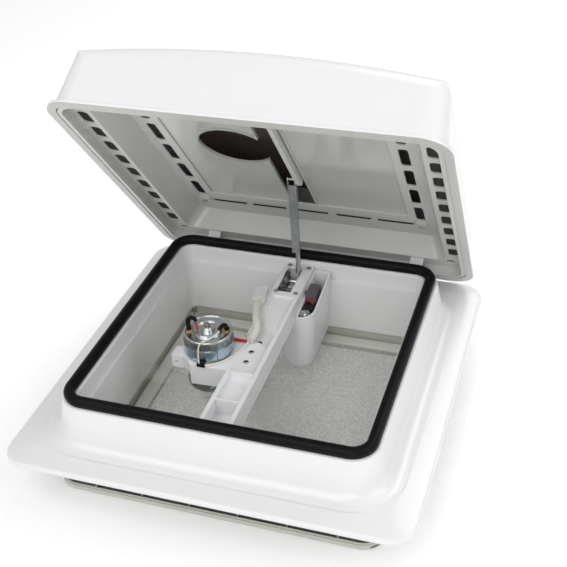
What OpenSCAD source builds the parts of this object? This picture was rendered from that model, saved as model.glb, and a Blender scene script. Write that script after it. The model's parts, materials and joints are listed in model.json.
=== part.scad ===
// Square caravan roof vent with a fan and a powered lid, standing open.
// Origin: centre of the roof cut-out on the outer face of the roof.
// +X right, +Y to the hinge, +Z up. Sizes in millimetres, angles in degrees.

/* [Base] */
// Side of the square roof cut-out that the throat drops into
cutout_w = 355.6; // [354:0.1:360]
// Play between the throat and the cut-out, each side
cutout_play = 6.8; // [5:0.1:9]
// Side of the square flange on the roof
flange_w = 488; // [484:1:500]
// Corner radius of the flange
flange_corner = 32; // [24:1:40]
// Thickness of the flange at its edge
flange_edge = 6; // [5:0.5:7]
// Height of the flange deck inside its edge
deck_h = 9; // [8:0.5:10]
// Height of the collar above the roof
collar_h = 55; // [52:0.5:56]
// Outside width of the collar at its top
rim_w = 382; // [380:0.5:386]
// Outside width of the collar at the deck
collar_foot_w = 402; // [396:1:410]
// Radius of the sweep from the deck up to the collar
flare_r = 18; // [8:1:24]
// Height of the ledge that carries the crossbeam
ledge_h = 32; // [30:0.5:34]
// Width of that ledge
ledge_w = 4; // [3:0.5:6]
// Depth of the throat below the roof
throat_d = 48; // [40:1:52]
// Wall of the mouldings
wall = 3; // [2.5:0.1:3.5]

/* [Seal] */
// Radius of the bulb
seal_r = 7; // [6:0.1:7.2]
// Height of the bulb's centre above the collar
seal_lift = 4.5; // [3:0.1:4.7]
// White edge of the collar outside the bulb
seal_edge = 2.5; // [1:0.1:4]

/* [Garnish and screen] */
// Side of the square ceiling trim
garnish_w = 404; // [396:1:420]
// Depth of the trim's face below the roof
garnish_d = 68; // [64:1:76]
// Corner radius of the trim
garnish_corner = 28; // [20:1:28]
// Height of the trim's edge
garnish_lip = 10; // [8:0.5:14]
// Side of the trim's opening
garnish_open = 300; // [290:1:304]
// Distance between the ribs behind the trim's edge
rib_pitch = 60; // [50:1:70]

/* [Lid] */
// Side of the square lid at its rim
lid_w = 460; // [452:1:464]
// Distance of the hinge axis behind the foot of the collar
hinge_gap = 2.12; // [1.5:0.01:4]
// Height of the closed rim above the roof
rim_h = 44; // [42:0.5:46]
// Height of the crown above the rim
crown_h = 98; // [90:1:110]
// Radius of the crown from side to side
crown_r = 1500; // [1300:1:1700]
// Radius of the shoulder between skirt and crown
shoulder_r = 28; // [24:0.5:32]
// Corner radius of the lid
lid_corner = 36; // [32:0.5:40]
// Lean of the skirt, inwards per unit of height
skirt_draft = 0.125; // [0.1:0.005:0.14]
// Angle of the open lid
lid_open = 51.5; // [45:0.5:55]
// Hinge axis in front of the lid's rear edge
hinge_in = 36.88; // [36:0.01:37.5]
// Hinge axis above the roof
hinge_h = 24; // [23.5:0.1:25]
// Hinge position either side of the middle
hinge_x = 150; // [120:1:160]
// Diameter of the hinge pins
hinge_pin_d = 4; // [3:0.1:4.4]

/* [Lid liner] */
// Height of the ledge with the air holes above the rim
ledge_v = 15.5; // [14:0.5:18]
// Height of the liner's pan above the rim
pan_v = 47; // [46.5:0.5:49]
// Distance between air holes
hole_pitch = 39.3; // [36:0.1:40]
// Length of an air hole
hole_l = 28; // [20:0.5:30]
// Width of an air hole
hole_w = 14; // [10:0.5:16]
// Length of a slot in the pan
slot_l = 46; // [30:0.5:48]
// Width of a slot in the pan
slot_w = 12; // [6:0.5:14]
// Distance between slots in the pan
slot_pitch = 58.7; // [56:0.1:60]
// Radius of the cut-out that clears the fan motor
motor_cut_r = 46.5; // [44:0.5:48]

/* [Crossbeam and lift] */
// Width of the crossbeam
beam_w = 40; // [38:0.5:42]
// Height of the beam's top above the roof
beam_top = 50; // [49:0.5:51]
// Depth of the beam
beam_d = 28; // [27:0.5:32]
// Wall of the beam
beam_wall = 2.5; // [2:0.1:3]
// Arm pivot behind the origin
arm_y = 144; // [142:0.5:146]
// Arm pivot above the roof
arm_z = 38; // [37:0.5:39]
// Width of the arm's strip
arm_w = 11.4; // [9:0.1:11.6]
// Thickness of the arm's sheet
arm_t = 1.6; // [1.2:0.1:2]
// Rear end of the roller's travel, from the lid's rear edge
rail_u = 203; // [200:0.5:206]
// Height of the roller above the rim
rail_v = 44; // [43.5:0.1:44.5]
// Tooth module of the lift gears
gear_m = 0.8; // [0.7:0.05:0.85]
// Teeth of the full circle of the sector
sector_teeth = 40; // [38:1:42]
// Teeth of the pinion
pinion_teeth = 12; // [12:1:14]

/* [Fan] */
// Fan axis from the origin, along X
fan_x = -58; // [-62:0.5:-57]
// Fan axis from the origin, along Y
fan_y = -31; // [-34:0.5:-28]
// Radius of the fan
fan_r = 104; // [90:0.5:105]
// Blades
blades = 4; // [3:1:5]
// Pitch of a blade
blade_pitch = 24; // [15:1:28]
// Diameter of the motor can
can_d = 60; // [56:0.5:61]
// Top of the can above the roof
can_top = 71; // [66:0.5:72]
// Length of the can
can_l = 75; // [68:0.5:76]

/* [Hidden] */
$fn = 48;

// Fits: a press, a running shaft, parts laid beside each other
press_gap = 0.02;
run_gap = 0.05;
fit_gap = 0.2;
over = 1;

// Base, in half widths from the middle
flange_half = flange_w / 2;
flange_c = flange_half - flange_corner;
flange_round = flange_edge * 0.75;
flange_foot = 10;
throat_out = cutout_w / 2 - cutout_play;
throat_in = throat_out - wall;
throat_up = throat_in + ledge_w;
rim_half = rim_w / 2;
foot_half = collar_foot_w / 2;
collar_c = throat_in - 10;
skin_dx = (foot_half - rim_half) / (collar_h - deck_h);
boss_r = 4.2;
boss_x = throat_out - 2.4;
boss_pilot_r = 1.5;
boss_gap = 8;
rim_round = 2.4;
brow_round = 1.5;

// Seal
seal_x = rim_half - seal_edge - seal_r;
seal_z = collar_h + seal_lift;

// Garnish and screen
garnish_half = garnish_w / 2;
garnish_c = garnish_half - garnish_corner;
garnish_z = -garnish_d;
garnish_top = garnish_z + wall;
upstand_t = 2.4;
upstand_in = throat_out + 0.6;
upstand_top = -throat_d + 18;
rib_t = 1.5;
open_half = garnish_open / 2;
screen_c = open_half - 10;
screen_out = throat_in - 1;
screen_in = open_half - 0.5;
screen_h = 5;
net_z = garnish_top + 2;
net_t = 0.6;
net_seat = 2.5;
net_half = screen_in + net_seat - 0.3;
screw_head_r = 4;
screw_head_h = 2.4;
screw_r = 2;

// Lid, in its own frame: middle of the rim plane, v up from the rim, u from the rear edge
lid_half = lid_w / 2;
lid_c = lid_half - lid_corner;
lip_h = 4;
lip_out = 5;
hinge_y = foot_half + hinge_gap;
lid_rear = hinge_y + hinge_in;
lid_back = lid_rear - lid_half;
lug_r = hinge_pin_d / 2 + 2.2;
lug_w = 5;
knuckle_w = 18;
lug_gap = 0.3;
pin_over = 1.5;
skirt_half = lid_half - lip_out;
lean = sqrt(1 + skirt_draft * skirt_draft);
skirt_foot = skirt_half + skirt_draft * lip_h;
crown_base = crown_h - crown_r;
shoulder_k = skirt_foot - shoulder_r * lean - skirt_draft * crown_base;
shoulder_reach = sqrt(pow(lean * (crown_r - shoulder_r), 2) - pow(shoulder_k, 2));
shoulder_w = (shoulder_k * skirt_draft + shoulder_reach) / (lean * lean);
shoulder_x = shoulder_k - skirt_draft * shoulder_w;
shoulder_v = crown_base + shoulder_w;
bow_h = 40 - crown_base;
lid_cy = lid_c - skirt_draft * (norm([lid_c, bow_h]) - bow_h);
lip_in = lid_half - 10.3;
liner_t = 2;
liner_flange = lip_in - 0.3;
liner_half = liner_flange - 3;
liner_c = liner_half - 25;
pan_foot_x = lid_half - 38.8;
pan_top_x = pan_foot_x - 16;
pan_foot_rear = 41;
pan_foot_front = 26;
pan_top_rear = 47;
pan_top_front = 48;
pan_corner = 14;
window_x = lid_half - 90;
window_u = [111, lid_w - 91];
plate_over = 3;
plate_t = 2;
plate_v = pan_v + liner_t;
channel = [-21, 13];
motor_cut = [fan_x, fan_y - 8];
hole_x = lid_half - 26.5;
hole_u0 = 78;
hole_end_l = 17;
hole_margin = 44;
hole_corner = [9, 12];
holes = floor((lid_w - hole_u0 - 48) / hole_pitch) + 1;
slot_x = pan_top_x - 18.6;
slot_u0 = 124;
slots = floor((window_u[1] - slot_u0) / slot_pitch) + 1;
slit_u = 85;
slit_l = 49;
slit_w = 3.2;
slit_x = [0, window_x - 79, window_x - 20.5];
plate_lip = 2.4;
boss_liner = [pan_top_x - 18.6, 89];
boss_liner_r = 9;
boss_liner_h = 5;
lining_half = lid_half - 52;
lining_t = 1.5;

// Crossbeam
beam_half = beam_w / 2;
beam_bottom = beam_top - beam_d;
beam_end = throat_in - fit_gap;
beam_tab = throat_up - fit_gap;
lip_w = 5.5;
floor_z = beam_top - 9;
floor_t = 3;
rear_y = 95;
deck_y = 27;
deck_z = beam_top - 3;
mid_y = -71;
tray_y = [-123, -75];
nook_y = [-161, -126];
nook_z = beam_bottom + 6;

// Lift linkage, worked out from the open and the closed lid
arm_x = -1;
pivot_r = 3;
function open_point(u, v) =
    let (d = hinge_in - u, h = rim_h + v - hinge_h)
    [hinge_y + d * cos(lid_open) + h * sin(lid_open), hinge_h - d * sin(lid_open) + h * cos(lid_open)];
tip = open_point(rail_u, rail_v);
arm_l = norm([tip[0] - arm_y, tip[1] - arm_z]);
arm_open = atan2(tip[1] - arm_z, arm_y - tip[0]);
arm_closed = asin((rim_h + rail_v - arm_z) / arm_l);
arm_ratio = (arm_open - arm_closed) / lid_open;
tip_closed_u = lid_rear - (arm_y - arm_l * cos(arm_closed));
jog_n = 11;
jog_s = 40;
neck_w = 6;
flange_h = 4;
roller_r = 3;
rail_pin_r = 2;
slot_play = 0.6;
slot_rise = 0.08;
rail_wall = 2;
rail_w = 6;
rail_web = 1.6;
rail_bottom = rail_v - 6;
rail_rear = rail_u - 10;
rail_front = window_u[1] - 3;
rail_base_v = plate_v + plate_t;
rail_flange = 24;
rail_left = arm_x + arm_w / 2 + 0.5;
gear_t = 5;
gear_x = arm_x - arm_w / 2 - 6;
gear_play = 0.1;
gear_backlash = 0.3;
gear_dist = gear_m * (sector_teeth + pinion_teeth) / 2 + gear_play;
pinion_y = arm_y - gear_dist;
pinion_shaft_r = 2.5;
arm_slot_y = [arm_y - 42, arm_y + 16];
arm_slot_x = [gear_x - 1.5, arm_x + arm_w / 2 + 1.5];

// Lift motor and its pocket: a wide tub under the beam whose right side rises beside it
pocket_wall = 2.2;
pocket_in = beam_half + fit_gap;
pocket_out = 44;
pocket_round = 20;
pocket_y = [76, 72];
pocket_narrow = 5.6;
pocket_left = [2, 3, 14.5];
pocket_bottom = -49;
pocket_bend = -30;
rim_slope = 10;
rim_at = [112, 36];
lift_can_r = 6.8;
lift_can_x = pocket_in + pocket_wall + lift_can_r + 0.2;
lift_can_y = 88.5;
lift_can_top = 30;
gearbox_y = [lift_can_y + lift_can_r + 1.2, 114, 140];
gearbox_step = 30;
gearbox_top = arm_z + 4;
gearbox_foot = 0;
gearbox_w = 14.4;

// Fan motor
can_r = can_d / 2;
can_bottom = can_top - can_l;
fan_shaft_r = 2.5;
bracket_top = floor_z + floor_t;
bracket_bottom = bracket_top - 17;
bracket_low = bracket_bottom - 12;
bracket_r = can_r + 4.5;
bracket_front = fan_y - 37;
bracket_rear = fan_y + 33;
bracket_right = beam_half - lip_w - 2.2;
brush_turn = 14;
brush_r = 23.5;
hub_r = 18;
hub_h = 26;
hub_top = can_bottom - 4;
blade_t = 1.6;
blade_bow = 90;

// Lead routes, chosen by hand
lead_r = 1;
route_white = [[-40.4, -36.7, 78.7], [-40.7, -37.5, 77.6], [-41.7, -39.6, 76.6], [-43.8, -43.6, 75.9],
    [-46.6, -48.6, 75.6], [-50, -54, 75.6], [-53.4, -58.8, 75.6], [-55.6, -62.2, 74.6],
    [-57.3, -64.6, 71], [-58.3, -65.8, 60], [-58, -67, 51], [-58, -67, 46]];
route_return = [[-50.3, -67, 46.2], [-48.6, -66.9, 46.2], [-46.2, -65.6, 46], [-40, -60.2, 45.7],
    [-34.3, -55.2, 45.6], [-27.2, -45.2, 45.4], [-21, -32, 45.4], [-16.5, -20, 46], [-14.2, -13, 47.4],
    [-13.8, -9.9, 47.8]];
route_red = [[-72, -34.5, 84.9], [-71.8, -34.4, 82], [-70.8, -34, 77.5], [-70.2, -33.9, 73.9]];
route_shrink = [[-34.2, -7.9, 46.5], [-30, -8.6, 46.2], [-24, -9, 46.3], [-17.2, -9.3, 47]];
route_sleeve = [[-12, -9.5, 49.6], [-10.6, -2, 50.5], [-9.5, 10, 53.9], [-12.6, 19, 56.1], [-16.6, 30, 56.4],
    [-20.5, 42, 56.4], [-24, 54, 55.6], [-25.7, 62, 54.8]];
route_lift = [[24.4, 112.6, 33], [27, 112.4, 34.4], [30, 111.6, 34.4], [33.4, 109.6, 32.8],
    [34.8, 108.4, 31.1]];
sleeve_r = 5.3;
connector_size = [17, 32, 9];
connector_at = [-28.3, 79];
connector_turn = 9;

// Plain helpers
module rounded_square(half, c) {
    square([2 * half, 2 * c], center = true);
    square([2 * c, 2 * half], center = true);
    for (x = [-c, c], y = [-c, c]) translate([x, y]) circle(half - c);
}

// A profile at its distance from the middle, led round a square with round corners
module ring_sweep(c) {
    for (turn = [0 : 90 : 270]) rotate(turn) {
        translate([0, c, 0]) rotate([90, 0, 0]) linear_extrude(2 * c) children();
        translate([c, c, 0]) rotate_extrude(angle = 90) translate([-c, 0]) children();
    }
}

// A flat shape in the plane of the lift: first axis forwards, second up, its right face at x
module lift_plate(x, t) {
    translate([x, 0, 0]) rotate([90, 0, -90]) linear_extrude(t) children();
}

module along_x(x, y, z, l, r) {
    translate([x, y, z]) rotate([0, 90, 0]) cylinder(r = r, h = l);
}

function unit(v) = v / norm(v);

// The fill of an inside corner b between the sides to a and to c
module corner_fill(a, b, c, r) {
    u = unit(a - b);
    w = unit(c - b);
    half_angle = acos(u * w) / 2;
    mid = b + unit(u + w) * r / sin(half_angle);
    reach = r / tan(half_angle);
    difference() {
        polygon([b - unit(u + w), b + u * reach, mid, b + w * reach]);
        translate(mid) circle(r);
    }
}

// A round lead along a route: rings square to the route, joined and capped
module lead(route, r, sides = 8) {
    last = len(route) - 1;
    function way(i) = unit(route[min(i + 1, last)] - route[max(i - 1, 0)]);
    function side(d) = unit(cross(d, abs(d[2]) > 0.9 ? [1, 0, 0] : [0, 0, 1]));
    points = [for (i = [0 : last], k = [0 : sides - 1])
        let (d = way(i), a = side(d), b = cross(d, a), t = 360 * k / sides)
        route[i] + r * (cos(t) * a + sin(t) * b)];
    walls = [for (i = [0 : last - 1], k = [0 : sides - 1])
        let (m = (k + 1) % sides, p = i * sides)
        each [[p + k, p + sides + m, p + m], [p + k, p + sides + k, p + sides + m]]];
    caps = [[for (k = [0 : sides - 1]) k], [for (k = [sides - 1 : -1 : 0]) last * sides + k]];
    polyhedron(points, concat(walls, caps));
}

// Involute tooth outlines, for teeth from first to last of a circle of n, the first axis on tooth 0
function roll(a) = tan(a) - a * PI / 180;
module teeth(m, n, first, last, tip_add, root_sub) {
    base = m * n / 2 * cos(20);
    root = m * n / 2 - root_sub * m;
    peak = m * n / 2 + tip_add * m;
    start = max(base, root) + 0.001;
    half_pitch = 90 / n - gear_backlash / (2 * m * n) * 180 / PI;
    function flank(r) = half_pitch + (roll(20) - roll(acos(base / r))) * 180 / PI;
    steps = 5;
    radii = [for (i = [0 : steps]) start + (peak - start) * i / steps];
    for (k = [first : last]) rotate(360 / n * k) polygon(concat(
        [[root - 0.6, -(root - 0.6) * sin(flank(start))]],
        [for (r = radii) [r * cos(flank(r)), -r * sin(flank(r))]],
        [for (i = [steps : -1 : 0]) let (r = radii[i]) [r * cos(flank(r)), r * sin(flank(r))]],
        [[root - 0.6, (root - 0.6) * sin(flank(start))]]));
}

// Places: the lid's frame and its open position
module opened() {
    translate([0, hinge_y, hinge_h]) rotate([-lid_open, 0, 0]) translate([0, -hinge_y, -hinge_h])
        translate([0, lid_back, rim_h]) children();
}

function from_rear(u) = lid_half - u;

// Base
module flange_profile() {
    slope_x = flange_half - flange_round;
    polygon([[flange_c, deck_h - wall], [flange_c, deck_h], [slope_x, flange_edge], [slope_x, 0],
        [flange_half - flange_foot, 0], [flange_half - flange_foot, flange_edge - wall]]);
    translate([slope_x - over, 0]) square([flange_round + over, flange_edge - flange_round]);
    translate([slope_x, flange_edge - flange_round]) circle(flange_round);
}

module collar_profile() {
    rim = [rim_half, collar_h];
    foot = [foot_half, deck_h];
    shelf = [foot_half + flare_r, deck_h];
    brow = [throat_up, collar_h];
    skin = wall * sqrt(1 + skin_dx * skin_dx);
    difference() {
        polygon([[shelf[0], deck_h - wall], shelf, foot, rim, [throat_up, collar_h], [throat_up, ledge_h],
            [throat_in, ledge_h], [throat_in, -throat_d], [throat_out, -throat_d],
            [throat_out, ledge_h - wall],
            [throat_up + wall, ledge_h - wall], [throat_up + wall, collar_h - wall],
            [rim_half + skin_dx * wall - skin, collar_h - wall],
            [foot_half + skin_dx * wall - skin, deck_h - wall]]);
        corner_fill(foot, rim, brow, rim_round);
        corner_fill(rim, brow, [throat_up, ledge_h], brow_round);
    }
    corner_fill(rim, foot, shelf, flare_r);
}

module hinge_lugs() {
    for (side = [-1, 1], end = [-1, 1]) {
        x = side * hinge_x + end * (knuckle_w / 2 + lug_gap + lug_w / 2) - lug_w / 2;
        along_x(x, hinge_y, hinge_h, lug_w, lug_r);
        translate([x, hinge_y - lug_r, deck_h - 1]) cube([lug_w, 2 * lug_r, hinge_h - deck_h + 1]);
    }
}

module base_frame() color("white") difference() {
    union() {
        ring_sweep(flange_c) flange_profile();
        translate([0, 0, deck_h - wall]) linear_extrude(wall) difference() {
            square(2 * flange_c, center = true);
            rounded_square(foot_half + over, collar_c);
        }
        ring_sweep(collar_c) collar_profile();
        hinge_lugs();
        for (x = [-1, 1], y = [-1, 1]) translate([x * boss_x, y * boss_x, boss_gap - throat_d])
            cylinder(r = boss_r, h = throat_d - boss_gap + deck_h - wall + 0.5);
    }
    for (side = [-1, 1]) along_x(side * hinge_x - 40, hinge_y, hinge_h, 80, hinge_pin_d / 2 + press_gap);
    for (x = [-1, 1], y = [-1, 1]) translate([x * boss_x, y * boss_x, -throat_d])
        cylinder(r = boss_pilot_r, h = boss_gap + 14);
}

module rim_seal() color([0.08, 0.08, 0.09]) ring_sweep(collar_c) difference() {
    translate([seal_x, seal_z]) circle(seal_r);
    translate([seal_x - seal_r - over, collar_h - seal_r * 2]) square([2 * (seal_r + over), 2 * seal_r]);
}

// Ceiling trim and screen
module garnish_edge_profile() {
    round = 6;
    bend = [garnish_half - round, garnish_z + round];
    difference() {
        union() {
            translate([garnish_c, garnish_z]) square([bend[0] - garnish_c, round]);
            translate(bend) circle(round);
            translate([bend[0] - over, bend[1]]) square([round + over, garnish_lip - round]);
        }
        translate([garnish_c - over, garnish_top]) square([bend[0] - garnish_c + over, garnish_lip]);
        translate(bend) circle(round - wall);
        translate([bend[0] - over, bend[1]]) square([round - wall + over, garnish_lip]);
    }
}

module garnish_form() difference() {
    union() {
        ring_sweep(garnish_c) garnish_edge_profile();
        translate([0, 0, garnish_z]) linear_extrude(wall) difference() {
            square(2 * garnish_c, center = true);
            rounded_square(open_half, screen_c);
        }
        ring_sweep(collar_c) translate([upstand_in, garnish_top - 0.5])
            square([upstand_t, upstand_top - garnish_top + 0.5]);
        rib_in = upstand_in + upstand_t / 2;
        for (turn = [0 : 90 : 270], k = [-2.5 : 1 : 2.5]) rotate(turn)
            translate([rib_in, k * rib_pitch - rib_t / 2, garnish_top - 0.5])
                cube([garnish_half - wall / 2 - rib_in, rib_t, garnish_lip - wall]);
    }
    for (x = [-1, 1], y = [-1, 1]) translate([x * boss_x, y * boss_x, 0]) {
        translate([0, 0, garnish_top]) cylinder(r = boss_r + 0.6, h = garnish_d);
        translate([0, 0, garnish_z - over]) cylinder(r = screw_r + 0.2, h = wall + 2 * over);
        translate([0, 0, garnish_z]) cylinder(r1 = screw_head_r, r2 = screw_r, h = screw_head_h);
    }
}

// One side of the trim, mitred at the corners
module garnish_side(turn) color([0.94, 0.94, 0.92]) intersection() {
    garnish_form();
    rotate(turn) translate([0, 0, garnish_z - over]) linear_extrude(garnish_d)
        polygon([[0, 0], [garnish_w, -garnish_w], [garnish_w, garnish_w]]);
}

module garnish_right() garnish_side(0);
module garnish_rear() garnish_side(90);
module garnish_left() garnish_side(180);
module garnish_front() garnish_side(270);

module garnish_screws() color("silver") for (x = [-1, 1], y = [-1, 1])
    translate([x * boss_x, y * boss_x, 0]) {
        translate([0, 0, garnish_z])
            cylinder(r = boss_pilot_r - press_gap, h = garnish_d - throat_d + boss_gap + 12);
        translate([0, 0, garnish_z])
            cylinder(r1 = screw_head_r - 0.1, r2 = screw_r - 0.1, h = screw_head_h);
    }

module screen_frame() color([0.75, 0.75, 0.74]) ring_sweep(screen_c) difference() {
    translate([screen_in, garnish_top]) square([screen_out - screen_in, screen_h]);
    translate([screen_in - over, net_z - 0.1]) square([net_seat + over, net_t + 0.2]);
}

function turned(p, a) = [p[0] * cos(a) - p[1] * sin(a), p[0] * sin(a) + p[1] * cos(a)];
// The insect screen, as one plain sheet with its corners cut to the frame's curve
module screen_net() color([0.6, 0.62, 0.58]) {
    cut = net_half - screen_c;
    corner = [[net_half, screen_c], [1, 1] * (screen_c + cut * sin(45)), [screen_c, net_half]];
    translate([0, 0, net_z]) linear_extrude(net_t)
        polygon([for (a = [0 : 90 : 270], p = corner) turned(p, a)]);
}

// Crossbeam
module crossbeam() color([0.9, 0.9, 0.91]) difference() {
    union() {
        translate([-beam_half, -beam_end, beam_bottom]) cube([beam_w, 2 * beam_end, beam_d]);
        translate([-beam_half, -beam_tab, ledge_h]) cube([beam_w, 2 * beam_tab, beam_top - ledge_h]);
    }
    inner = beam_half - lip_w;
    under = beam_half - beam_wall;
    translate([-inner, mid_y, floor_z]) cube([2 * inner, deck_y - mid_y, beam_d]);
    translate([-inner, deck_y - over, deck_z]) cube([2 * inner, rear_y - floor_t - deck_y + over, beam_d]);
    translate([-inner, tray_y[0], floor_z + 1]) cube([2 * inner, tray_y[1] - tray_y[0], beam_d]);
    translate([-inner, nook_y[0], nook_z]) cube([2 * inner, nook_y[1] - nook_y[0], beam_d]);
    translate([-under, rear_y, beam_bottom - over])
        cube([2 * under, beam_end - rear_y - beam_wall, beam_d - floor_t + over]);
    translate([-under, tray_y[0], beam_bottom - over])
        cube([2 * under, rear_y - tray_y[0] - floor_t, floor_z - floor_t - beam_bottom + over]);
    translate([-beam_half - over, bracket_front - fit_gap, floor_z])
        cube([lip_w + 2 * over, bracket_rear - bracket_front + 2 * fit_gap, beam_d]);
    translate([arm_slot_x[0], arm_slot_y[0], floor_z])
        cube([arm_slot_x[1] - arm_slot_x[0], arm_slot_y[1] - arm_slot_y[0], beam_d]);
    for (p = bracket_holes) translate([p[0], p[1], floor_z - 2 * floor_t])
        cylinder(r = bracket_hole_r, h = 3 * floor_t);
    along_x(-beam_w, arm_y, arm_z, 2 * beam_w, pivot_r + press_gap);
    along_x(-beam_w, pinion_y, arm_z, 2 * beam_w, pinion_shaft_r + run_gap);
}

beam_screw_at = [[-13.5, 164], [14, 162], [-13, 100], [14, 100]];
module beam_screws() color("silver") for (p = beam_screw_at)
    translate([p[0], p[1], beam_top]) {
        cylinder(r1 = 3.2, r2 = 2.4, h = 1.6);
    }

// Lift drive. The pocket narrows downwards; k is 0 at its mouth and 1 at its floor
module pocket_slab(z, left, inset) {
    k = (beam_top - z) / (beam_top - pocket_bottom);
    right = pocket_out - k * pocket_narrow;
    y = pocket_y[0] + k * (pocket_y[1] - pocket_y[0]);
    r = pocket_round - inset;
    translate([0, 0, z]) {
        translate([left + inset, y + pocket_round, 0])
            cube([right - left - 2 * inset, beam_end - y - pocket_round - inset, 0.1]);
        translate([left + inset, y + inset, 0]) cube([0.1, 1, 0.1]);
        translate([right - pocket_round, y + pocket_round, 0]) intersection() {
            cylinder(r = r, h = 0.1, $fn = 64);
            translate([0, -r, 0]) cube([r, r, 0.1]);
        }
    }
}

module pocket_form(inset, rise) {
    seat = beam_bottom - 0.4;
    hull() {
        pocket_slab(beam_top, pocket_in, inset);
        pocket_slab(seat, pocket_in, inset);
    }
    hull() {
        pocket_slab(seat - 0.1 + rise, pocket_left[0], inset);
        pocket_slab(pocket_bend, pocket_left[1], inset);
        pocket_slab(pocket_bottom + inset, pocket_left[2], inset);
    }
}

module lift_housing() color([0.9, 0.9, 0.91]) difference() {
    union() {
        pocket_form(0, 0);
        for (y = [96, 128]) translate([pocket_in + 9, y, pocket_bottom - 3]) cylinder(r = 3, h = 4);
    }
    pocket_form(pocket_wall, over);
    translate([pocket_in - 1, rim_at[0], rim_at[1]]) rotate([rim_slope, 0, 0]) translate([0, -120, 0])
        cube([pocket_out, 240, 60]);
    along_x(pocket_in - over, pinion_y, arm_z, pocket_wall + 2 * over, pinion_shaft_r + run_gap);
}

lift_floor = pocket_bottom + pocket_wall;
module lift_motor() color("silver") translate([lift_can_x, lift_can_y, 0]) difference() {
    union() {
        translate([0, 0, gearbox_foot]) cylinder(r = lift_can_r, h = lift_can_top - gearbox_foot);
        translate([0, 0, lift_can_top - 0.5]) cylinder(r = 2.6, h = 3);
    }
    translate([0, 0, lift_can_top - 1.2]) difference() {
        cylinder(r = lift_can_r - 1.1, h = 3);
        cylinder(r = 2.6, h = 3);
    }
}

module lift_gearbox() color([0.1, 0.1, 0.11]) {
    x0 = pocket_in + pocket_wall + 0.3;
    foot_w = gearbox_w - 2.4;
    low = gearbox_foot - 8;
    difference() {
        union() {
            translate([x0, gearbox_y[0], low])
                cube([gearbox_w, gearbox_y[2] - gearbox_y[0], gearbox_step - low]);
            translate([x0, gearbox_y[1], low])
                cube([gearbox_w, gearbox_y[2] - gearbox_y[1], gearbox_top - low]);
            translate([x0, gearbox_y[0] + 12, lift_floor])
                cube([foot_w, gearbox_y[2] - gearbox_y[0] - 12, gearbox_foot - lift_floor]);
            translate([lift_can_x, lift_can_y, low]) cylinder(r = lift_can_r - 0.4, h = 8);
            translate([lift_can_x - 5, lift_can_y, low])
                cube([10, gearbox_y[0] - lift_can_y + 1, 8]);
        }
        along_x(x0 - over, pinion_y, arm_z, 12, pinion_shaft_r + run_gap);
    }
}

module lift_pinion() color("dimgray") {
    along_x(-beam_half + 0.3, pinion_y, arm_z, pocket_in + pocket_wall + 9 + beam_half, pinion_shaft_r);
    translate([0, pinion_y, arm_z]) lift_plate(gear_x + gear_t, gear_t) {
        rotate(180 + 180 / pinion_teeth) teeth(gear_m, pinion_teeth, 0, pinion_teeth - 1, 0.85, 1.15);
        circle(gear_m * (pinion_teeth / 2 - 1.15));
    }
}

module arm_pivot_pin() color("silver") {
    along_x(-beam_half - 2, arm_y, arm_z, 2 - fit_gap / 2, pivot_r + 1.5);
    along_x(-beam_half - 2, arm_y, arm_z, beam_w + 2, pivot_r);
}

module sector_gear() color("dimgray") translate([0, arm_y, arm_z]) difference() {
    union() {
        lift_plate(gear_x + gear_t, gear_t) {
            root = gear_m * (sector_teeth / 2 - 1.15);
            teeth(gear_m, sector_teeth, -1, 10, 0.8, 1.15);
            intersection() {
                circle(root);
                polygon([[0, 0], [1.6 * root, -0.36 * root], [1.6 * root, 1.6 * root],
                    [-0.2 * root, 1.6 * root]]);
            }
            circle(pivot_r + 3.5);
        }
    }
    along_x(gear_x - over, 0, 0, gear_t + 2 * over, pivot_r + run_gap);
}

// The arm, drawn along its own line from the pivot: s towards the tip, n to the rear
function strip_n(s) = jog_n - jog_n / (arm_l - jog_s) * (s - jog_s);
module lift_arm() color([0.72, 0.74, 0.75]) {
    left = arm_x - arm_w / 2;
    right = arm_x + arm_w / 2;
    strip_end = arm_l - 9;
    eye_r = rail_pin_r + 2.2;
    back = 0.3;
    translate([0, arm_y, arm_z]) difference() {
        union() {
            // Side plate with an eye at each end
            lift_plate(right, arm_t) rotate(arm_open) {
                circle(pivot_r + 4);
                polygon([[0, -pivot_r - 3.9], [jog_s, strip_n(jog_s) - flange_h], [arm_l, -eye_r + 0.1],
                    [arm_l, eye_r - 0.1], [jog_s, strip_n(jog_s) + back], [0, pivot_r + 3.9]]);
                translate([arm_l, 0]) circle(eye_r);
            }
            // Flat strip, narrowed to a neck between the knee and the pivot
            lift_plate(right - 0.1, arm_w - 0.1) rotate(arm_open) polygon([[jog_s, strip_n(jog_s) - arm_t],
                [strip_end, strip_n(strip_end) - arm_t], [strip_end, strip_n(strip_end)],
                [jog_s, strip_n(jog_s)]]);
            lift_plate(right - 0.1, neck_w) rotate(arm_open) polygon([[10, pivot_r + 2.4],
                [jog_s + 3, strip_n(jog_s + 3) - arm_t + 0.1],
                [jog_s + 3, strip_n(jog_s + 3) - 0.1], [10, pivot_r + 4]]);
            // Second eye at the tip
            lift_plate(left + arm_t, arm_t) rotate(arm_open) {
                translate([arm_l, 0]) circle(eye_r);
                polygon([[strip_end - 20, strip_n(strip_end - 20) + back],
                    [strip_end - 20, strip_n(strip_end - 20) - arm_t - back],
                    [arm_l, -eye_r + 0.1], [arm_l, eye_r - 0.1]]);
            }
            // Hub on the pivot pin
            along_x(gear_x + gear_t, 0, 0, right + 2 - gear_x - gear_t, pivot_r + 2);
        }
        along_x(gear_x - over, 0, 0, beam_w, pivot_r + run_gap);
        along_x(-beam_w, tip[0] - arm_y, tip[1] - arm_z, 2 * beam_w, rail_pin_r + press_gap);
    }
}

module at_tip() { translate([0, tip[0], tip[1]]) children(); }

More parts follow.
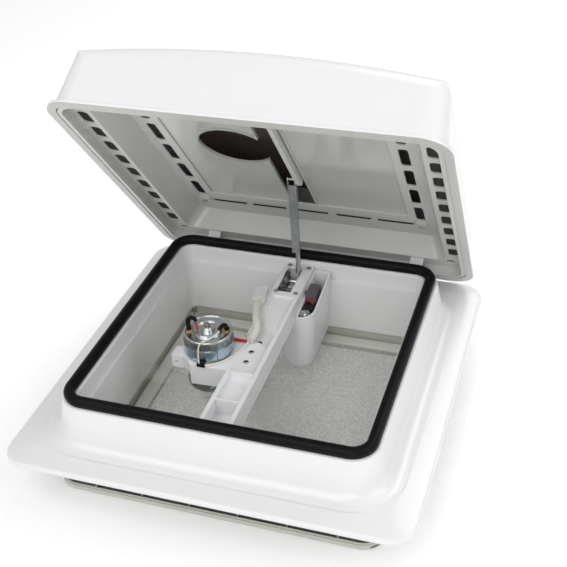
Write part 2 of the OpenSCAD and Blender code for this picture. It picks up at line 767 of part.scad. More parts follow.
module rail_pin() color("silver") at_tip()
    along_x(arm_x - arm_w / 2 - 0.8, 0, 0, arm_w + 0.8 + 0.5 + rail_w - rail_web - 0.6, rail_pin_r);

module rail_roller() color("white") at_tip() difference() {
    along_x(rail_left + 0.2, 0, 0, rail_w - rail_web - 0.5, roller_r);
    along_x(rail_left - over, 0, 0, rail_w, rail_pin_r + run_gap);
}

// Fan motor and its bracket
module at_fan() { translate([fan_x, fan_y, 0]) children(); }

module bracket_plan() {
    translate([fan_x, fan_y]) circle(bracket_r);
    polygon([[fan_x - 12, bracket_front], [bracket_right, bracket_front + 3],
        [bracket_right, bracket_rear - 12], [-beam_half, bracket_rear], [fan_x + 14, bracket_rear - 2],
        [fan_x, fan_y], [fan_x - 24, fan_y - 22]]);
}

bracket_holes = [[-2.3, -1.5], [-5.2, -25.2], [-5.2, -45.2]];
bracket_hole_r = 3.4;
module motor_bracket() color([0.93, 0.93, 0.93]) difference() {
    union() {
        translate([0, 0, floor_z]) linear_extrude(floor_t) bracket_plan();
        translate([0, 0, bracket_bottom]) linear_extrude(bracket_top - bracket_bottom) intersection() {
            bracket_plan();
            translate([fan_x - 60, fan_y - 60]) square([-beam_half - fit_gap - fan_x + 60, 120]);
        }
        translate([0, 0, bracket_low]) linear_extrude(bracket_top - bracket_low) intersection() {
            bracket_plan();
            translate([fan_x - 14, fan_y - 60]) square([-beam_half - fit_gap - fan_x + 14, 120]);
        }
        translate([fan_x - 43, fan_y - 22, bracket_bottom - 3]) cube([16, 19, 18]);
        translate([fan_x - 40, fan_y + 8, bracket_bottom + 3]) cube([12, 6, 12]);
    }
    // Hollow under the plate between the clamp ring and the beam
    translate([0, 0, bracket_low - over])
    linear_extrude(bracket_top - bracket_low - floor_t + over) difference() {
        polygon([[fan_x + 6, bracket_front + 2.5], [-beam_half - 2.7, bracket_front + 4.5],
            [-beam_half - 2.7, bracket_rear - 3], [fan_x + 15, bracket_rear - 5]]);
        translate([fan_x, fan_y]) circle(bracket_r);
    }
    at_fan() translate([0, 0, bracket_low - 10]) cylinder(r = can_r + fit_gap, h = 60);
    for (p = bracket_holes) translate([p[0], p[1], floor_z - over])
        cylinder(r = bracket_hole_r, h = floor_t + 2 * over);
    translate([fan_x - 37, fan_y - 30, bracket_bottom + 6]) rotate([-90, 0, 0]) cylinder(r = 1.6, h = 18);
}

module fan_motor_can() color("silver") at_fan() difference() {
    rotate_extrude() difference() {
        union() {
            translate([0, can_bottom]) square([can_r - 4, can_l]);
            translate([0, can_bottom + 4]) square([can_r, can_l - 4]);
            translate([can_r - 4, can_bottom + 4]) circle(4);
            translate([0, can_bottom - 2]) square([9, 3]);
        }
        translate([-20, can_bottom - 10]) square([20, can_l + 20]);
    }
    translate([0, 0, can_bottom - 10]) cylinder(r = fan_shaft_r + run_gap, h = can_l + 20);
    for (turn = [20 : 45 : 335]) rotate(turn) translate([can_r - 2, -2.5, can_bottom + 8]) cube([4, 5, 11]);
}

// End cap: a rolled edge, a flat, a raised ring and a bearing seat in two steps
cap_h = 1.6;
ring_r = [15, 17.5];
ring_h = 3;
dish_h = 1.2;
seat_r = [8.5, 6];
seat_h = [4.4, 6.2];
module fan_motor_cap() color([0.8, 0.82, 0.83]) at_fan() difference() {
    rotate_extrude() difference() {
        union() {
            translate([0, can_top]) square([can_r, cap_h]);
            translate([can_r - 1.4, can_top + cap_h]) circle(1.4);
            translate([0, can_top]) square([ring_r[0] + over, cap_h + dish_h]);
            translate([ring_r[0], can_top]) square([ring_r[1] - ring_r[0], cap_h + ring_h]);
            for (k = [0, 1]) translate([0, can_top]) square([seat_r[k], cap_h + seat_h[k]]);
        }
        translate([-20, can_top - 5]) square([20, 30]);
        translate([0, can_top - 5]) square([can_r + 5, 5]);
    }
    translate([0, 0, can_top - over]) cylinder(r = 3.5 + press_gap, h = 20);
    for (turn = [0, 180]) rotate(brush_turn + turn) translate([brush_r - 5, -6.2, can_top + cap_h - 0.8])
        cube([8, 12.4, 10]);
}

module motor_bush() color("peru") at_fan() difference() {
    translate([0, 0, can_top]) cylinder(r = 3.5, h = cap_h + seat_h[1] + 1.5);
    translate([0, 0, can_top - over]) cylinder(r = fan_shaft_r + run_gap, h = 20);
}

module flux_ring() color([0.75, 0.8, 0.86]) at_fan() translate([0, 0, bracket_top + 2]) difference() {
    cylinder(r = can_r + 1.5, h = 15);
    translate([0, 0, -over]) cylinder(r = can_r + press_gap, h = 15 + 2 * over);
    rotate(-50) translate([can_r - 3, -0.6, -over]) cube([8, 1.2, 20]);
}

module brush_plates() color("tan") at_fan() for (turn = [0, 180]) rotate(brush_turn + turn)
    translate([brush_r - 4.9, -6, can_top + cap_h - 0.7]) cube([7.8, 12, 1.8]);

// Boots over the terminals: the left one tall and bent to the shaft, the right one low and bent forwards
boot_seat = can_top + cap_h + 1.1;
boot_r = 2.6;
boot_wall = 1.3;
module boot(turn, rise, bend, sweep) translate([0, 0, boot_seat]) {
    cylinder(r = boot_r + 0.3, h = rise + 0.4);
    translate([0, 0, rise]) rotate(turn) translate([bend, 0, 0]) rotate([90, 0, 0])
        rotate([0, 0, 180 - sweep]) rotate_extrude(angle = sweep) translate([bend, 0]) difference() {
            circle(boot_r);
            circle(boot_r - boot_wall);
        }
}

module terminal_boots() color([0.06, 0.06, 0.06]) at_fan() {
    rotate(brush_turn) translate([brush_r, 0, 0]) boot(245 - brush_turn, 2.4, 6.6, 150);
    rotate(brush_turn + 180) translate([brush_r, 0, 0]) boot(180, 12.8, 4.6, 175);
}

module cable_clip() color([0.07, 0.07, 0.07])
    translate([fan_x + 2.5, bracket_front + 1, bracket_top]) difference() {
    translate([-5, -2.2, 0]) cube([10, 4.4, 4]);
    for (x = [-2.5, 2.5]) translate([x, 0, 1.8]) cylinder(r = lead_r + 0.1, h = 5);
}

module lead_white() color("white") lead(route_white, lead_r);
module lead_return() color("white") lead(route_return, lead_r);
module lead_red() color("red") lead(route_red, lead_r);
module heat_shrink() color("red") lead(route_shrink, 1.9);
module wire_sleeve() color("ivory") lead(route_sleeve, sleeve_r, 12);
module lift_lead() color("red") lead(route_lift, lead_r);

module wire_connector() color([0.92, 0.92, 0.9, 0.8])
    translate([connector_at[0], connector_at[1], beam_top]) rotate(connector_turn) difference() {
        translate([-connector_size[0] / 2, -connector_size[1] / 2, 0]) cube(connector_size);
        for (x = [-4, 4]) translate([x - 3, connector_size[1] / 2 - 12, 2]) cube([6, 20, 5]);
    }

// Fan
module fan_shaft() color("silver") at_fan() {
    translate([0, 0, hub_top - hub_h + 2])
        cylinder(r = fan_shaft_r, h = can_top + cap_h + seat_h[1] + 4 - hub_top + hub_h - 2);
}

module fan_hub() color([0.85, 0.88, 0.88, 0.6]) at_fan() difference() {
    rotate_extrude() difference() {
        union() {
            translate([0, hub_top - hub_h + 5]) square([hub_r, hub_h - 5]);
            translate([0, hub_top - hub_h]) square([hub_r - 5, hub_h]);
            translate([hub_r - 5, hub_top - hub_h + 5]) circle(5);
        }
        translate([-30, hub_top - 2 * hub_h]) square([30, 3 * hub_h]);
        translate([7, hub_top - hub_h + 8]) square([hub_r - 9, hub_h]);
    }
    translate([0, 0, hub_top - hub_h + 2]) cylinder(r = fan_shaft_r + press_gap, h = 2 * hub_h);
}

module blade_plan() {
    intersection() {
        circle(fan_r);
        union() {
            polygon([[hub_r - 2, -9], [fan_r * 0.6, -36], [fan_r + 8, -44], [fan_r + 8, 26],
                [fan_r * 0.55, 26], [hub_r - 2, 9]]);
        }
    }
}

module fan_blades() color([0.9, 0.93, 0.93, 0.3]) at_fan()
    for (k = [0 : blades - 1]) rotate(-12 + 360 / blades * k)
    difference() {
        intersection() {
            translate([0, 0, hub_top - hub_h - 20]) linear_extrude(hub_h + 40) blade_plan();
            translate([0, 0, hub_top - hub_h / 2]) rotate([blade_pitch, 0, 0]) translate([0, 0, -blade_bow])
                rotate([0, 90, 0]) difference() {
                    cylinder(r = blade_bow, h = fan_r + over);
                    translate([0, 0, -over]) cylinder(r = blade_bow - blade_t, h = fan_r + 3 * over);
                }
            translate([0, 0, hub_top - hub_h / 2]) rotate([blade_pitch, 0, 0]) translate([-over, -60, -40])
                cube([fan_r + 3 * over, 120, 60]);
        }
        translate([0, 0, hub_top - hub_h - 20]) cylinder(r = hub_r - 0.01, h = hub_h + 40);
    }

// Lid. The shoulder circle touches the leaning skirt and the crown, whatever the inset
module lid_sides(inset) {
    r = shoulder_r - inset;
    touch = shoulder_x * (1 + r / (crown_r - shoulder_r));
    translate([-lid_half - over, -2 * over])
        square([lid_w + 2 * over, shoulder_v + r * skirt_draft / lean + 2 * over]);
    for (side = [-1, 1]) translate([side * shoulder_x, shoulder_v]) circle(r);
    intersection() {
        translate([0, crown_base]) circle(crown_r - inset);
        translate([-touch, 0]) square([2 * touch, 2 * crown_h]);
    }
}

// Front and rear in a plane through the crown's axis, first axis outwards from that axis
module lid_ends(inset) {
    r = shoulder_r - inset;
    out = crown_r - shoulder_r;
    low = -crown_base - 3 * over;
    line = skirt_foot - inset * lean - skirt_draft * crown_base;
    y = line - skirt_draft * out - r * lean;
    peak = [out + r * skirt_draft / lean, y + r / lean];
    polygon([[low, -line + skirt_draft * low], peak - [0, 2 * peak[1]], peak,
        [low, line - skirt_draft * low]]);
    translate([low, -y]) square([crown_r - inset - low, 2 * y]);
    for (side = [-1, 1]) translate([out, side * y]) circle(r);
}

module lid_corners(inset) {
    foot = skirt_foot - inset * lean - lid_c;
    low = inset > 0 ? -over : 0;
    high = crown_h + over;
    translate([-lid_c, -lid_half, low]) cube([2 * lid_c, lid_w, high - low]);
    for (side = [-1, 1]) translate([side * lid_c, side * lid_cy, 0]) rotate([90, 0, 90 - side * 90])
        linear_extrude(2 * lid_cy) polygon([[-over, low], [foot - skirt_draft * low, low],
            [foot - skirt_draft * high, high], [-over, high]]);
    for (x = [-1, 1], y = [-1, 1]) translate([x * lid_c, y * lid_cy, low])
        cylinder(r1 = foot - skirt_draft * low, r2 = foot - skirt_draft * high, h = high - low);
}

module lid_form(inset) intersection() {
    lid_corners(inset);
    translate([0, lid_half + over, 0]) rotate([90, 0, 0]) linear_extrude(lid_w + 2 * over) lid_sides(inset);
    translate([0, 0, crown_base]) rotate([90, 0, 0]) rotate([0, 0, 75])
        rotate_extrude(angle = 30) lid_ends(inset);
}

module lid_dome() color("white") opened() {
    difference() {
        lid_form(0);
        lid_form(wall);
    }
    ring_sweep(lid_c) translate([lip_in, 0]) square([lid_half - lip_in, lip_h]);
}

// Pan outline at its foot or its top, grown by g
module pan_slab(x, rear, front, g) {
    low = -lid_half + front - g;
    high = lid_half - rear + g;
    r = pan_corner;
    for (sx = [-1, 1], y = [low + r, high - r]) translate([sx * (x + g - r), y, 0])
        cylinder(r = r, h = 0.1, $fn = 32);
}

module pan(g, from_v, to_v) hull() {
    translate([0, 0, from_v]) pan_slab(pan_foot_x, pan_foot_rear, pan_foot_front, g);
    translate([0, 0, to_v - 0.1]) pan_slab(pan_top_x, pan_top_rear, pan_top_front, g);
}

module round_slot(l, w, h) {
    r = w * 0.36;
    translate([0, 0, -h / 2]) linear_extrude(h) {
        square([w - 2 * r, l], center = true);
        square([w, l - 2 * r], center = true);
        for (x = [-1, 1], y = [-1, 1]) translate([x * (w / 2 - r), y * (l / 2 - r)]) circle(r);
    }
}

module lid_liner() color([0.82, 0.83, 0.82]) opened() difference() {
    union() {
        ring_sweep(liner_c) {
            translate([liner_half - liner_t - 0.5, 1]) square([liner_t + 0.5, ledge_v + liner_t - 1]);
            translate([liner_half - liner_t, 1]) square([liner_flange - liner_half + liner_t, liner_t]);
        }
        translate([0, 0, ledge_v]) linear_extrude(liner_t) rounded_square(liner_half - 1, liner_c);
        pan(liner_t, ledge_v, pan_v + liner_t);
        for (side = [-1, 1])
            translate([side * boss_liner[0], from_rear(boss_liner[1]), pan_v - boss_liner_h])
            cylinder(r = boss_liner_r, h = boss_liner_h + 1);
    }
    difference() {
        pan(0, ledge_v - over, pan_v);
        for (side = [-1, 1])
            translate([side * boss_liner[0], from_rear(boss_liner[1]), pan_v - boss_liner_h])
            cylinder(r = boss_liner_r, h = boss_liner_h + 1);
    }
    translate([-window_x, from_rear(window_u[1]), pan_v - over])
        cube([2 * window_x, window_u[1] - window_u[0], 10]);
    for (side = [-1, 1]) {
        for (k = [0 : holes - 1])
            translate([side * hole_x, from_rear(hole_u0 + k * hole_pitch), ledge_v + 1])
            round_slot(hole_l, hole_w, 12);
        translate([side * hole_x, from_rear(hole_u0 + (holes - 1) * hole_pitch + hole_l), ledge_v + 1])
            round_slot(hole_end_l, hole_w, 12);
        translate([side * (hole_x - 6), from_rear(hole_u0 - 38), ledge_v + 1])
            round_slot(hole_corner[0], hole_corner[1], 12);
        for (k = [0 : slots - 1]) translate([side * slot_x, from_rear(slot_u0 + k * slot_pitch), pan_v + 1])
            round_slot(slot_l, slot_w, 12);
        translate([side * boss_liner[0], from_rear(boss_liner[1]), pan_v - 10]) cylinder(r = 2, h = 30);
        for (x = slit_x) translate([side * x, from_rear(slit_u), pan_v + 1])
            cube([slit_l, slit_w, 12], center = true);
    }
}

module liner_plate(x0, x1) {
    translate([x0, from_rear(window_u[1] + plate_over), plate_v])
        cube([x1 - x0, window_u[1] - window_u[0] + 2 * plate_over, plate_t]);
}

// A lip, hanging from a plate's edge beside the channel
module plate_edge(x) {
    translate([x, from_rear(window_u[1]) + fit_gap, plate_v - plate_lip])
        cube([plate_lip, window_u[1] - window_u[0] - 2 * fit_gap, plate_lip + plate_t / 2]);
}

module liner_plate_left() color([0.85, 0.86, 0.85]) opened() difference() {
    union() {
        liner_plate(-window_x - plate_over, channel[0]);
        plate_edge(channel[0] - plate_lip);
        intersection() {
            translate([motor_cut[0], motor_cut[1] - lid_back, plate_v - plate_lip])
                cylinder(r = motor_cut_r + plate_lip, h = plate_lip + plate_t / 2);
            translate([fit_gap - window_x, from_rear(window_u[1]) + fit_gap, 0])
                cube([window_x + channel[0] - fit_gap, window_u[1] - window_u[0] - 2 * fit_gap, crown_h]);
        }
    }
    translate([motor_cut[0], motor_cut[1] - lid_back, plate_v - plate_lip - over])
        cylinder(r = motor_cut_r, h = plate_lip + plate_t + 2 * over);
}

module liner_plate_right() color([0.85, 0.86, 0.85]) opened() {
    liner_plate(channel[1], window_x + plate_over);
    plate_edge(channel[1]);
}

// Rail bar with a round rear end and a slot, open on the arm's side, for the roller
module lift_rail() color([0.88, 0.88, 0.86]) opened() {
    half = roller_r + slot_play;
    slot = [rail_u, tip_closed_u];
    mid_v = rail_v + slot_rise;
    tall = rail_base_v - rail_bottom;
    difference() {
        union() {
            lift_plate(rail_left + rail_w, rail_w) translate([-lid_half, 0]) {
                translate([rail_rear + tall / 2, rail_bottom])
                    square([rail_front - rail_rear - tall / 2, tall]);
                translate([rail_rear + tall / 2, rail_bottom + tall / 2]) circle(tall / 2);
            }
            translate([rail_left, from_rear(rail_front), rail_base_v - 0.5])
                cube([rail_w, rail_front - rail_rear - tall, rail_wall + 0.5]);
            translate([rail_left + rail_w - over, from_rear(rail_front), rail_base_v])
                cube([rail_flange - rail_left - rail_w + over, rail_front - rail_rear - tall, rail_wall]);
        }
        lift_plate(rail_left + rail_w - rail_web, rail_w) translate([-lid_half, 0]) {
            translate([slot[0], mid_v - half]) square([slot[1] - slot[0], 2 * half]);
            for (u = slot) translate([u, mid_v]) circle(half);
        }
    }
}

// Dark lining under the crown, and screens behind the air holes
module lid_lining() color([0.1, 0.09, 0.08]) opened() intersection() {
    translate([0, lining_half, crown_base]) rotate([90, 0, 0]) difference() {
        cylinder(r = crown_r - wall - fit_gap, h = 2 * lining_half, $fn = 360);
        translate([0, 0, -over])
            cylinder(r = crown_r - wall - fit_gap - lining_t, h = 2 * (lining_half + over), $fn = 360);
    }
    translate([-lining_half, -lining_half, 0]) cube([2 * lining_half, 2 * lining_half, crown_h]);
}

screen_end = hole_u0 + (holes - 1) * hole_pitch + hole_l + hole_end_l / 2;
module vent_screens() color([0.1, 0.09, 0.08]) opened() for (side = [-1, 1])
    translate([side * hole_x - hole_w / 2 - 1, from_rear(screen_end + 1), ledge_v + liner_t + 0.1])
        cube([hole_w + 2, screen_end - hole_u0 + hole_margin, 0.8]);

module lid_hinge_arms() color("white") opened() for (side = [-1, 1])
    translate([side * hinge_x, hinge_y - lid_back, hinge_h - rim_h]) difference() {
        union() {
            along_x(-knuckle_w / 2, 0, 0, knuckle_w, lug_r);
            translate([-knuckle_w / 2, 0, 0]) cube([knuckle_w, lug_r, rim_h - hinge_h + ledge_v]);
        }
        along_x(-knuckle_w, 0, 0, 2 * knuckle_w, hinge_pin_d / 2 + run_gap);
    }

module hinge_pins() color("silver") for (side = [-1, 1]) {
    l = knuckle_w + 2 * (lug_gap + lug_w + pin_over);
    along_x(side * hinge_x - l / 2, hinge_y, hinge_h, l, hinge_pin_d / 2);
}

module liner_screws() color("silver") opened() for (side = [-1, 1])
    translate([side * boss_liner[0], from_rear(boss_liner[1]), pan_v - boss_liner_h]) {
        translate([0, 0, -1.5]) cylinder(r = 4, h = 1.5);
        cylinder(r = 2 - press_gap, h = 12);
    }

echo(arm_ratio = arm_ratio, pinion_ratio = -arm_ratio * sector_teeth / pinion_teeth, tip = tip, arm_l = arm_l,
    hinge_y = hinge_y, pinion_y = pinion_y);

base_frame();
rim_seal();
garnish_front();
garnish_rear();
garnish_left();
garnish_right();
garnish_screws();
screen_frame();
screen_net();
crossbeam();
beam_screws();
motor_bracket();
fan_motor_can();
fan_motor_cap();
flux_ring();
brush_plates();
terminal_boots();
motor_bush();
cable_clip();
lead_white();
lead_return();
lead_red();
heat_shrink();
wire_sleeve();
wire_connector();
lift_housing();
lift_motor();
lift_gearbox();
lift_lead();
arm_pivot_pin();
hinge_pins();
lid_dome();
lid_liner();
liner_plate_left();
liner_plate_right();
lift_rail();
lid_lining();
vent_screens();
lid_hinge_arms();
liner_screws();
lift_arm();
sector_gear();
rail_pin();
rail_roller();
lift_pinion();
fan_shaft();
fan_hub();
fan_blades();
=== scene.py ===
# %% [markdown]
# # A caravan roof vent with its lid up
# The object is a square white roof vent: a flange that lies on the roof, a raised collar with a black
# bulb seal, a domed lid on a rear hinge, a geared lift arm, and a fan motor on a crossbeam.
# The solids come ready from the CAD model. This lesson gives them finishes, adds the soft and fine
# pieces that solids can't show (leads, insect mesh, screw heads, dark strips of painted shade in the
# lid's slits), and sets the light and the camera.

# %% Load the solids
import json
import math

import bpy
from mathutils import Matrix, Vector


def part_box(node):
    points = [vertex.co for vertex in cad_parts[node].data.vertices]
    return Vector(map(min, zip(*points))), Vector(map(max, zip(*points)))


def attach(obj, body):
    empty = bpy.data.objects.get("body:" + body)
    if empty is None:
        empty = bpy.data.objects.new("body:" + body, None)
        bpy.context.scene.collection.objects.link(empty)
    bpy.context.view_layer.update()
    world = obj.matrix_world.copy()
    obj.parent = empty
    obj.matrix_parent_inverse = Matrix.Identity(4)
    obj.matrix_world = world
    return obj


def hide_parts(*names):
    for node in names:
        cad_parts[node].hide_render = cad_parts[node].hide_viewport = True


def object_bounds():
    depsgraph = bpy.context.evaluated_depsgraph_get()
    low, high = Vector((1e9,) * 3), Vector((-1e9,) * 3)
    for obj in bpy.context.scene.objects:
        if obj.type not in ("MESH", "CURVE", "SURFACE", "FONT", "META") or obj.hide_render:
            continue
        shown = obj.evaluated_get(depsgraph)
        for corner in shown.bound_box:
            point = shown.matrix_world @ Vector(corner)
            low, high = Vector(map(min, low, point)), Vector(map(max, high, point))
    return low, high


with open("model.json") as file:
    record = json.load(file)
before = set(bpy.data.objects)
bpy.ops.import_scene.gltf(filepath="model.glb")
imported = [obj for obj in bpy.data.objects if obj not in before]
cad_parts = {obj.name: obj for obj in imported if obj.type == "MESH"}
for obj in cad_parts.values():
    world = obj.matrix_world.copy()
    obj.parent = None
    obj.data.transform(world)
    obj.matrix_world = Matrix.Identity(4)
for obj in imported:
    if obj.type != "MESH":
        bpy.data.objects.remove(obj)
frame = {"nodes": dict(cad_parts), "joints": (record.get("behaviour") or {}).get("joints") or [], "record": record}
solids = frame["nodes"]
solid_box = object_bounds()
MM = 0.001

# %% [markdown]
# ## The camera
# The photograph was taken from the front right, about 34 degrees above the roof. The numbers were
# found by matching corners of the flange, the seal and the lid to the picture. A camera's own axes are
# right, up and backwards, so those three directions, side by side, make its rotation.

# %% Camera
AZIMUTH, ELEVATION, ROLL = (math.radians(angle) for angle in (19.261, 34.25, -2.896))
EYE = Vector((367.3, -957.8, 827.0)) * MM
FOCAL_PIXELS, IMAGE_SIDE = 1027.8, 567
SENSOR_MM = 36

backwards = Vector((math.sin(AZIMUTH) * math.cos(ELEVATION), -math.cos(AZIMUTH) * math.cos(ELEVATION),
                    math.sin(ELEVATION)))
level_right = Vector((math.cos(AZIMUTH), math.sin(AZIMUTH), 0))
level_up = backwards.cross(level_right)
cam_right = level_right * math.cos(ROLL) + level_up * math.sin(ROLL)
cam_up = level_up * math.cos(ROLL) - level_right * math.sin(ROLL)
turn = Matrix((cam_right, cam_up, backwards)).transposed()

bpy.ops.object.camera_add()
camera = bpy.context.object
camera.data.sensor_width = SENSOR_MM
camera.data.lens = SENSOR_MM * (FOCAL_PIXELS / IMAGE_SIDE)
camera.matrix_world = Matrix.Translation(EYE) @ turn.to_4x4()
bpy.context.scene.camera = camera
print("camera lens:", round(camera.data.lens, 2), "mm")

# %% [markdown]
# ## Writing shader maths as sums
# A finish is a web of nodes. It could be drawn in the shader editor, but in a script it is easier to read
# as an expression than as a list of links. `Signal` wraps one output of a node, and adding or
# multiplying signals adds the Math nodes.


# %% Signals
class Signal:
    """One output inside a finish; arithmetic on it adds Math nodes."""

    def __init__(self, finish, socket):
        self.finish, self.socket = finish, socket

    def maths(self, operation, *values):
        return self.finish.add("ShaderNodeMath", {"operation": operation}, dict(enumerate(values)))

    def __add__(self, other):
        return self.maths("ADD", self, other)

    def __sub__(self, other):
        return self.maths("SUBTRACT", self, other)

    def __rsub__(self, other):
        return self.maths("SUBTRACT", other, self)

    def __mul__(self, other):
        return self.maths("MULTIPLY", self, other)

    def __pow__(self, other):
        return self.maths("POWER", self, other)

    __radd__, __rmul__ = __add__, __mul__

    def wave(self, turns):
        """Sine from 0 to 1, with that many turns per metre."""
        angle = self * (turns * math.tau)
        return angle.maths("SINE", angle) * 0.5 + 0.5

    def size(self):
        return self.maths("ABSOLUTE", self)

    def above(self, other):
        """The larger of two signals."""
        return self.maths("MAXIMUM", self, other)

    def clip(self, low, high):
        """0 below low, 1 above high."""
        return self.finish.add("ShaderNodeMapRange", {}, {"Value": self, "From Min": low, "From Max": high})


# %% [markdown]
# ## One method for every node
# `Finish` holds one material in the making. `add` takes a node's type, its settings and its inputs, so
# each pattern below is one line. The patterns read Object coordinates, which move with the piece.


# %% Finishes
class Finish:
    """A material in the making, on the object's own coordinates."""

    def __init__(self, name):
        self.material = bpy.data.materials.new(name)
        self.material.use_nodes = True
        self.tree = self.material.node_tree
        self.shader = self.tree.nodes["Principled BSDF"]
        self.place = self.add("ShaderNodeTexCoord", out="Object")

    def add(self, kind, settings=None, sockets=None, out=0):
        node = self.tree.nodes.new(kind)
        for key, value in (settings or {}).items():
            setattr(node, key, value)
        for key, value in (sockets or {}).items():
            self.feed(node.inputs[key], value)
        return Signal(self, node.outputs[out])

    def feed(self, socket, value):
        if isinstance(value, Signal):
            self.tree.links.new(value.socket, socket)
        else:
            socket.default_value = (*value, 1) if socket.type == "RGBA" else value

    def noise(self, scale, detail=2.0, stretch=None):
        """Noise from 0 to 1, with about that many blotches per metre."""
        place = self.place
        if stretch:
            place = self.add("ShaderNodeMapping", {}, {"Vector": place, "Scale": stretch})
        return self.add("ShaderNodeTexNoise", {}, {"Vector": place, "Scale": scale, "Detail": detail}, "Fac")

    def mix(self, factor, first, second):
        """The first colour where the factor is 0, the second where it is 1."""
        return self.add("ShaderNodeMix", {"data_type": "RGBA"}, {0: factor, 6: first, 7: second}, 2)

    def axes(self, centre=(0, 0, 0)):
        """The place on the object as x, y and z, measured from a centre."""
        moved = self.add("ShaderNodeVectorMath", {"operation": "SUBTRACT"}, {0: self.place, 1: centre})
        split = self.add("ShaderNodeSeparateXYZ", {}, {0: moved})
        return [Signal(self, output) for output in split.socket.node.outputs]

    def soft_edges(self, radius_mm):
        return self.add("ShaderNodeBevel", {"samples": 6}, {"Radius": radius_mm * MM})

    def bump(self, height, depth_mm, strength=1.0, normal=None):
        sockets = {"Height": height, "Distance": depth_mm * MM, "Strength": strength}
        if normal:
            sockets["Normal"] = normal
        return self.add("ShaderNodeBump", {}, sockets)

    def done(self, **sockets):
        for key, value in sockets.items():
            self.feed(self.shader.inputs[key.replace("_", " ").title().replace("Ior", "IOR")], value)
        return self.material


finishes = {}


def make_finishes(kind, recipes):
    """One finish of a kind for each recipe."""
    for name, recipe in recipes.items():
        finishes[name] = kind(name, **recipe)
    print(kind.__name__ + ":", ", ".join(recipes))


def from_axis(x, y):
    """The distance from an upright axis."""
    return (x * x + y * y) ** 0.5


# %% [markdown]
# ## White mouldings
# The flange, the dome and the crossbeam are injection-moulded gloss plastic. Real mouldings are never
# one flat white: the tone drifts a little, handling leaves duller patches, the skin has a very fine
# orange peel, and every edge has a small radius that catches light. The Bevel node gives that radius
# in the shading, so the solids stay as they are.


# %% White and grey plastics
def moulding(name, pale, deep, gloss, edge_mm=0.9, peel_mm=0.006, coat=0.15, patch=None):
    f = Finish(name)
    drift = f.noise(4, 3).clip(0.3, 0.7)
    smear = f.noise(14, 4)
    speck = f.noise(900, 1).clip(0.74, 0.82)
    tone = f.mix(drift, deep, pale)
    tone = f.mix(speck * 0.08, tone, tuple(c * 0.6 for c in deep))
    if patch:
        mask, shade = patch
        tone = f.mix(mask(f), tone, shade)
    rounded = f.soft_edges(edge_mm)
    skin = f.noise(420, 2)
    return f.done(base_color=tone, roughness=gloss + (smear - 0.5) * 0.07, coat_weight=coat,
                  coat_roughness=0.15, normal=f.bump(skin, peel_mm, 0.4, rounded))


SHELL = dict(pale=(0.80, 0.80, 0.81), deep=(0.785, 0.785, 0.795), gloss=0.30, edge_mm=1.2)
BEAM = dict(pale=(0.80, 0.80, 0.815), deep=(0.775, 0.775, 0.79), gloss=0.36, edge_mm=0.7)
make_finishes(moulding, {
    "shell_white": SHELL,
    "flange_white": dict(pale=(0.80, 0.80, 0.80), deep=(0.785, 0.785, 0.785), gloss=0.22, edge_mm=5),
    "beam_white": BEAM,
    "liner_grey": dict(pale=(0.58, 0.59, 0.565), deep=(0.54, 0.55, 0.53), gloss=0.22, edge_mm=1.0),
    "plate_gloss": dict(pale=(0.52, 0.53, 0.495), deep=(0.49, 0.50, 0.465), gloss=0.10, edge_mm=0.5,
                        peel_mm=0.003, coat=0.6),
    "screen_grey": dict(pale=(0.74, 0.74, 0.69), deep=(0.69, 0.69, 0.64), gloss=0.42),
    "roller_nylon": dict(pale=(0.72, 0.71, 0.66), deep=(0.66, 0.65, 0.60), gloss=0.40, edge_mm=0.3),
})

# %% [markdown]
# ## Mouldings in two tones, and painted shade
# Some solids are one piece in CAD and two tones here. The lift gearbox has a greyer cover. The rest is
# painted shade. The trim's trough lies against the roof in the dark gap under the flange and is painted
# dark. The white dome's rim is painted grey underneath, in the liner's grey, as shade. The bracket's three
# holes are painted dark inside as shade. Cutting the solids apart would show seams, so a mask built from
# the place on the object chooses the tone. Each pair of heights or reaches is where a mask fades in.

# %% Masks
TRIM_WALL = 173.6 * MM, 173.9 * MM
UPSTAND = 174.3 * MM, 174.6 * MM
TRIM_RIM = 197.6 * MM, 198.2 * MM
TRIM_FLOOR = -66.8 * MM, -66.2 * MM
RIB_TOPS = -60.5 * MM, -59.8 * MM
COVER_JOINT = 113.6 * MM, 113.8 * MM
RIM_ABOVE_HINGE = 20.3 * MM, 20.6 * MM
BRACKET_HOLES = [(-2.3, -1.5), (-5.2, -25.2), (-5.2, -45.2)]
HOLE_WALL = 3.4 * MM, 3.46 * MM
HOLE_FOOT = 0, 0.2 * MM
PLATE_FLOOR, BEAM_FLOOR = 41.2 * MM, 38.2 * MM

lid_hinge = next(joint for joint in frame["joints"] if joint["name"] == "lid_hinge")
HINGE = Vector(lid_hinge["pos_m"])
LID_OPEN = math.radians(lid_hinge["range_deg"][1])


def trim_trough_shade(f):
    """Painted shade on the trim's trough and upstand, which lie against the roof under the flange; the ribs' tops
    stay pale where light catches them.
    """
    x, y, z = f.axes()
    reach = x.size().above(y.size())
    outside = reach.clip(*TRIM_WALL) * (1 - reach.clip(*TRIM_RIM))
    trough = (1 - z.clip(*RIB_TOPS)).above(1 - reach.clip(*UPSTAND))
    return trough * outside * z.clip(*TRIM_FLOOR)


def gear_cover(f):
    _, y, _ = f.axes()
    return y.clip(*COVER_JOINT)


def rim_underside_shade(f):
    """Painted shade below the dome's rim, measured square to the open lid."""
    _, y, z = f.axes(HINGE)
    rise = y * math.sin(LID_OPEN) + z * math.cos(LID_OPEN)
    return 1 - rise.clip(*RIM_ABOVE_HINGE)


def drilled(f, place, floor):
    """1 on a hole's wall above that height, where the hole's shade is painted."""
    x, y, z = f.axes((place[0] * MM, place[1] * MM, floor))
    return (1 - from_axis(x, y).clip(*HOLE_WALL)) * z.clip(*HOLE_FOOT)


def plate_hole_shade(f):
    first, second, third = (drilled(f, place, PLATE_FLOOR) for place in BRACKET_HOLES)
    return first.above(second).above(third)


def beam_hole_shade(f):
    return drilled(f, BRACKET_HOLES[0], BEAM_FLOOR)
